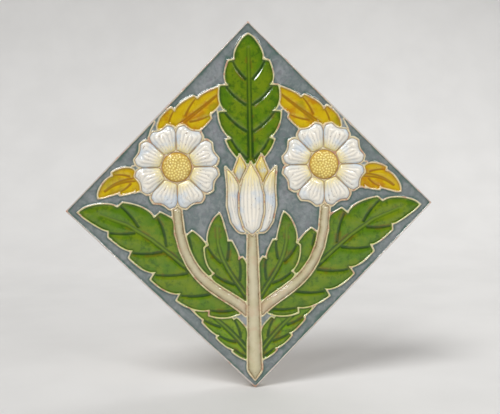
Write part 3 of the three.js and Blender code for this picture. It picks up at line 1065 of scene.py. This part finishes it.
def ground_bleed(tree, tint, depth):
    """The grey glaze is mottled, and copper has stained it green, most of all along the lines."""
    mottle = blotches(tree, 2.6, 5.0, (0.4, 0.66), 0.6, roughness=0.75)
    tint = stain(tree, tint, (92, 108, 106), mottle)
    marbled = patches(tree, 4.0, 3.0, distortion=1.3)
    tint = stain(tree, tint, (146, 149, 148), ramp(tree, marbled, 0.46, 0.68, 0.0, 0.42))
    tint = stain(tree, tint, (120, 116, 122), ramp(tree, marbled, 0.48, 0.32, 0.0, 0.4))
    bled = sums(tree, "ADD", product(tree, depth, 0.5), patches(tree, 9.0, 3.0))
    return stain(tree, tint, (56, 94, 78), ramp(tree, bled, 0.6, 0.85, 0.0, 0.6))


# %% What is special to the flowers and the stems
def streaks(tree, lengthwise, crosswise):
    """A noise that is drawn out along a petal, and differs from petal to petal."""
    place = add(tree, "CombineXYZ", {0: product(tree, attribute(tree, "along"), lengthwise),
                                     1: product(tree, attribute(tree, "across"), crosswise),
                                     2: product(tree, patches(tree, 40.0, 0.0), 40.0)}).outputs[0]
    return add(tree, "TexNoise", {"Vector": place, "Scale": 1.0, "Detail": 2.0}).outputs["Fac"]


def petal_marks(tree, tint, _depth):
    """Yellow is brushed over one end of a petal, its furrows are greyed with painted shade, and brown dashes
    run along it.
    """
    brushed = ramp(tree, streaks(tree, 1.5, 1.5), 0.3, 0.6, 0.3, 1.0)
    sunny = product(tree, attribute(tree, "sunny"), brushed)
    tint = stain(tree, tint, (236, 214, 104), sunny, 0.85)
    furrow = attribute(tree, "furrow")
    # Painted shade: grey in the furrows.
    tint = stain(tree, tint, (178, 176, 172), furrow, 0.6)
    blue = blotches(tree, 10.0, 2.0, (0.5, 0.66), 0.55)
    tint = stain(tree, tint, (190, 206, 222), blue, ramp(tree, sunny, 0.0, 0.5, 1.0, 0.0))
    dash = ramp(tree, streaks(tree, 7.0, 1.8), 0.64, 0.7)
    return stain(tree, tint, (132, 96, 70), dash, ramp(tree, furrow, 0.0, 0.7, 0.3, 0.9))


def heart_seeds(tree, tint, _depth):
    """The yellow glaze has run off each little seed and lies brown between them."""
    tint = stain(tree, tint, (182, 136, 44), ramp(tree, attribute(tree, "seed"), 0.1, 0.7, 0.7, 0.0))
    return stain(tree, tint, (150, 116, 52), blotches(tree, 4.0, 3.0, (0.5, 0.7), 0.35))


def stem_shade_and_patches(tree, tint, _depth):
    """Painted shade darkens the sides of the stem, broken into brown flecks, and pale patches lie over it."""
    # Painted shade on the sides of the stem, in brown flecks.
    shaded_sides = ramp(tree, attribute(tree, "edge_mm"), 0.3, 1.3, 1.0, 0.0)
    tint = stain(tree, tint, (120, 88, 56), shaded_sides, blotches(tree, 0.9, 3.0, (0.5, 0.66), roughness=0.7))
    return stain(tree, tint, (196, 164, 136), blotches(tree, 7.0, 3.0, (0.5, 0.66), 0.4))


# %% Mix the glazes
GLAZES = {
    "green": glaze("glaze green", leaf_shade, thin=(150, 176, 44), full=(82, 120, 0), deep=(34, 66, 0),
                   cloud=(106, 128, 2), bands=(0.7, 0.5), cloudiness=0.8),
    "lime": glaze("glaze lime", leaf_shade, thin=(176, 196, 80), full=(104, 142, 6), deep=(40, 80, 0),
                  cloud=(124, 148, 12), bands=(0.7, 0.5), cloudiness=0.8),
    "amber": glaze("glaze amber", amber_burn, thin=(216, 194, 84), full=(200, 170, 0), deep=(142, 94, 0),
                   cloud=(214, 186, 14), bands=(0.8, 0.3), depth=0.66),
    "white": glaze("glaze white", petal_marks, thin=(212, 202, 184), full=(241, 234, 219),
                   deep=(152, 173, 186), cloud=(246, 240, 228), bands=(1.0, 0.8), depth=0.8, speck=0.22),
    "yellow": glaze("glaze yellow", heart_seeds, thin=(236, 222, 150), full=(248, 232, 136),
                    deep=(192, 148, 48), cloud=(252, 242, 178), bands=(0.8, 0.8), speck=0.12),
    "pale yellow": glaze("glaze pale yellow", petal_marks, thin=(236, 226, 160), full=(236, 216, 112),
                         deep=(186, 150, 60), cloud=(240, 228, 160), bands=(0.9, 0.8), speck=0.1),
    # For the stems the deep band is wide: it paints shade on their sides, so that they look round.
    "buff": glaze("glaze buff", stem_shade_and_patches, thin=(196, 180, 140), full=(206, 197, 166), deep=(116, 102, 58),
                  cloud=(188, 178, 134), bands=(1.1, 0.8), depth=0.95, speck=0.25),
    "ground": glaze("glaze grey blue", ground_bleed, thin=(170, 174, 164), full=(114, 124, 124),
                    deep=(58, 74, 68), cloud=(144, 147, 150), bands=(0.9, 0.8), cloudiness=0.9, speck=0.06),
}
print("glazes:", ", ".join(GLAZES))

# %% Lay each glaze in its pools
GLAZE_OF = {"ground": "ground", "amber": "amber", "low_leaf": "lime", "leaf": "green", "stem": "buff",
            "heart": "yellow", "back_petal": "pale yellow", "petal": "white"}

for name, piece in pools.items():
    laid = next(GLAZE_OF[word] for word in GLAZE_OF if word in name)
    piece.data.materials.append(GLAZES[laid])

# %% [markdown]
# ## The raised lines and the bare clay
#
# The lines carry only a thin skin of glaze, so they are cream, with the colour of the neighbouring pool
# on their flanks and pinkish clay where the skin is thinnest. Copper has tinged them green beside the
# leaves, and where lines meet in a broad patch the ground glaze has washed over it. The back and the
# chips are bare biscuit: matt, pale, and dusty in the keys. Over the front of the sides some glaze has
# run down, in drops of uneven length.

# %% The finish of the raised lines
FLANKS = {"by_leaf": (168, 184, 84), "by_amber": (226, 196, 104), "by_petal": (168, 138, 112),
          "by_stem": (196, 172, 136)}

lines_finish, tree, shader = new_material("glazed lines")
flank = shades(tree, patches(tree, 3.0), (206, 178, 162), (188, 190, 180))
for key, shade in FLANKS.items():
    flank = stain(tree, flank, shade, attribute(tree, key))
cream = shades(tree, blotches(tree, 2.2, 3.0, (0.5, 0.7)), (214, 204, 164), (204, 174, 138))
copper = blotches(tree, 5.0, 3.0, (0.42, 0.62), 0.7, 0.1)
cream = stain(tree, cream, (200, 204, 128), attribute(tree, "by_leaf"), copper)
tint = blend(tree, ramp(tree, attribute(tree, "edge_mm"), 0.05, 0.42), flank, cream)
blush = blotches(tree, 1.5, 4.0, (0.52, 0.64), 0.6, roughness=0.65)
tint = stain(tree, tint, (194, 150, 124), blush)
worn = blotches(tree, 6.0, 5.0, (0.53, 0.62), 0.75, roughness=0.7)
tint = stain(tree, tint, (186, 132, 108), worn)
wash = shades(tree, blotches(tree, 2.6, 4.0, (0.4, 0.62)), (108, 120, 118), (142, 146, 146))
tint = blend(tree, attribute(tree, "washed"), tint, wash)
rim_tint = shades(tree, patches(tree, 3.5), (198, 180, 178), (192, 190, 184))
tint = blend(tree, ramp(tree, attribute(tree, "rim_mm"), 0.9, 0.5, 0.0, 0.9), tint, rim_tint)
bare = attribute(tree, "chipped")
tint = blend(tree, bare, tint, shades(tree, patches(tree, 1.2, 3.0), (182, 128, 108), (200, 164, 136)))
iron = use(tree, specks, {"Spacing": 1.6, "Size": 0.2, "Amount": 0.16})["Mask"]
give(tree, shader, {
    "Base Color": stain(tree, tint, (88, 56, 36), iron),
    "Roughness": sums(tree, "ADD", product(tree, bare, 0.5), 0.16),
    "Coat Weight": sums(tree, "SUBTRACT", 0.6, bare, clamp=True),
    "Normal": rippled(tree),
})
raised_lines.data.materials.append(lines_finish)
print("nodes in the finish of the lines:", len(tree.nodes))

# %% The finish of the bare clay
biscuit, tree, shader = new_material("biscuit clay")
tint = shades(tree, blotches(tree, 12.0, 4.0, (0.35, 0.65)), (226, 210, 182), (212, 190, 158))
grains = blotches(tree, 0.5, 3.0, (0.35, 0.7), 0.5, roughness=0.7)
tint = stain(tree, tint, (190, 166, 134), grains)
dust = blotches(tree, 3.0, 5.0, (0.3, 0.7), 1.0, 0.3)
tint = stain(tree, tint, (132, 112, 90), attribute(tree, "dusty"), dust, 0.75)
handled = blotches(tree, 30.0, 5.0, (0.48, 0.7), 0.45, roughness=0.65)
tint = stain(tree, tint, (176, 150, 118), handled)
iron = use(tree, specks, {"Spacing": 2.0, "Size": 0.22, "Amount": 0.25})["Mask"]
tint = stain(tree, tint, (120, 84, 58), iron)
pores = sums(tree, "ADD", patches(tree, 0.6, 4.0, roughness=0.7), product(tree, iron, -0.4))

# %% Glaze that has run over the sides
RUN_START = pocket_floor - 1.7
RUN_FULL = pocket_floor - 0.9
RUN_DROPS = 2.2

height_mm = product(tree, add(tree, "SeparateXYZ", {0: object_place(tree)}).outputs["Y"], -1 / MM)
drops = blotches(tree, 6.0, 3.0, (0.3, 0.7), RUN_DROPS, -RUN_DROPS)
run = ramp(tree, sums(tree, "ADD", height_mm, drops), RUN_START, RUN_FULL)
give(tree, shader, {
    "Base Color": blend(tree, run, tint, shades(tree, patches(tree, 7.0), (206, 198, 176), (158, 170, 158))),
    "Roughness": ramp(tree, run, 0.0, 1.0, 0.85, 0.18),
    "Coat Weight": product(tree, run, 0.5),
    "Normal": relief(tree, pores, strength=0.7, depth=0.12),
})
slab.data.materials.clear()
slab.data.materials.append(biscuit)
print("materials:", len(bpy.data.materials))

# %% [markdown]
# ## The studio
#
# The tile stands on one corner on a plain pale floor that curves up behind it. The main light is a soft
# sun from the upper left, because a sun lights the whole floor evenly, also where other views see it. A
# large lamp at the right fills the shadows, two small ones in front draw the small sharp lights of a
# glaze, and one stands behind. The room gives little light, since a glaze mirrors what is round it, but
# past the floor it is seen as pale.

# %% Make the floor
FLOOR_HALF = 5.0
FLOOR_BEHIND = 0.9
SWEEP = 0.5

deselect_all()
bpy.ops.mesh.primitive_plane_add(size=2 * FLOOR_HALF, location=(0, FLOOR_BEHIND - FLOOR_HALF, -corner * MM))
floor = bpy.context.object
floor.name = "studio_floor"
bpy.ops.object.transform_apply(location=True, rotation=True, scale=True)
bpy.ops.object.mode_set(mode="EDIT")
bpy.ops.mesh.select_mode(type="EDGE")
bpy.ops.mesh.select_all(action="DESELECT")
bpy.ops.object.mode_set(mode="OBJECT")
for seam in floor.data.edges:
    seam.select = all(floor.data.vertices[v].co.y > FLOOR_BEHIND - MM for v in seam.vertices)
bpy.ops.object.mode_set(mode="EDIT")
bpy.ops.mesh.extrude_edges_move()
bpy.ops.transform.translate(value=(0, 0, FLOOR_HALF))
bpy.ops.object.mode_set(mode="OBJECT")
select_only(floor)
add_modifier(floor, "BEVEL", width=SWEEP, segments=16, limit_method="ANGLE")
bpy.ops.object.shade_smooth_by_angle(angle=SMOOTH_ANGLE)
paper, tree, shader = new_material("studio paper")
paper_tint = shades(tree, blotches(tree, 60.0, 3.0, (0.3, 0.7)), (208, 207, 205), (212, 211, 209))
give(tree, shader, {"Base Color": paper_tint, "Roughness": 0.7})
floor.data.materials.append(paper)
print("floor:", [round(v, 2) for v in floor.dimensions], "m")

# %% Set the lights
ROOM_LIGHT = 0.2
BACKDROP = 0.62
LIGHTS = {
    "window": {"place": (-0.5, -0.66, 1.1), "kind": "SUN", "size": math.radians(25), "power": 2.1},
    "left lamp": {"place": (-0.25, -0.9, 0.5), "kind": "AREA", "size": 0.12, "power": 1.3},
    "right lamp": {"place": (0.42, -0.85, 0.55), "kind": "AREA", "size": 0.12, "power": 1.1},
    "fill": {"place": (0.9, -0.8, 0.45), "kind": "AREA", "size": 0.7, "power": 2.4},
    "behind": {"place": (0.5, 0.45, 0.7), "kind": "AREA", "size": 0.4, "power": 1.5},
}
for name, facts in LIGHTS.items():
    lamp = bpy.data.lights.new(name, facts["kind"])
    setattr(lamp, "angle" if facts["kind"] == "SUN" else "size", facts["size"])
    lamp.energy = facts["power"]
    stand = bpy.data.objects.new(name, lamp)
    stand.location = facts["place"]
    stand.rotation_euler = (-Vector(facts["place"])).to_track_quat("-Z", "Y").to_euler()
    bpy.context.scene.collection.objects.link(stand)

scene = bpy.context.scene
scene.view_settings.view_transform = "Standard"
world = bpy.data.worlds.new("soft room")
world.use_nodes = True
seen = add(world.node_tree, "LightPath").outputs["Is Camera Ray"]
strength = ramp(world.node_tree, seen, 0.0, 1.0, ROOM_LIGHT, BACKDROP)
room = world.node_tree.nodes["Background"]
give(world.node_tree, room, {"Color": (0.98, 0.98, 1.0, 1), "Strength": strength})
scene.world = world
print("lights:", ", ".join(LIGHTS))

# %% [markdown]
# ## The camera
#
# The photograph was taken from close by, a little above and to the left of the middle of the tile, and
# was held almost level. The distance and the angles are those that put the four corners of the face where
# the photograph has them, in a picture 500 wide.

# %% Place the camera
PICTURE_WIDTH = 500
FOCAL_PIXELS = 700
DISTANCE = 410.2
AZIMUTH = math.radians(-3.75)
ELEVATION = math.radians(3.18)
ROLL = math.radians(1.19)
AIM = Vector((-1.0, -(outline_top - 0.2), -0.1))

level_away = math.cos(ELEVATION)
away = Vector((math.sin(AZIMUTH) * level_away, -math.cos(AZIMUTH) * level_away, math.sin(ELEVATION)))
lens = bpy.data.cameras.new("camera")
lens.sensor_width = 36
lens.lens = FOCAL_PIXELS / PICTURE_WIDTH * lens.sensor_width
camera = bpy.data.objects.new("camera", lens)
turn = (-away).to_track_quat("-Z", "Y").to_matrix().to_4x4() @ Matrix.Rotation(-ROLL, 4, "Z")
camera.matrix_world = Matrix.Translation((AIM + away * DISTANCE) * MM) @ turn
scene.collection.objects.link(camera)
scene.camera = camera
print("camera at", [round(v, 3) for v in camera.location], "lens", round(lens.lens, 1))
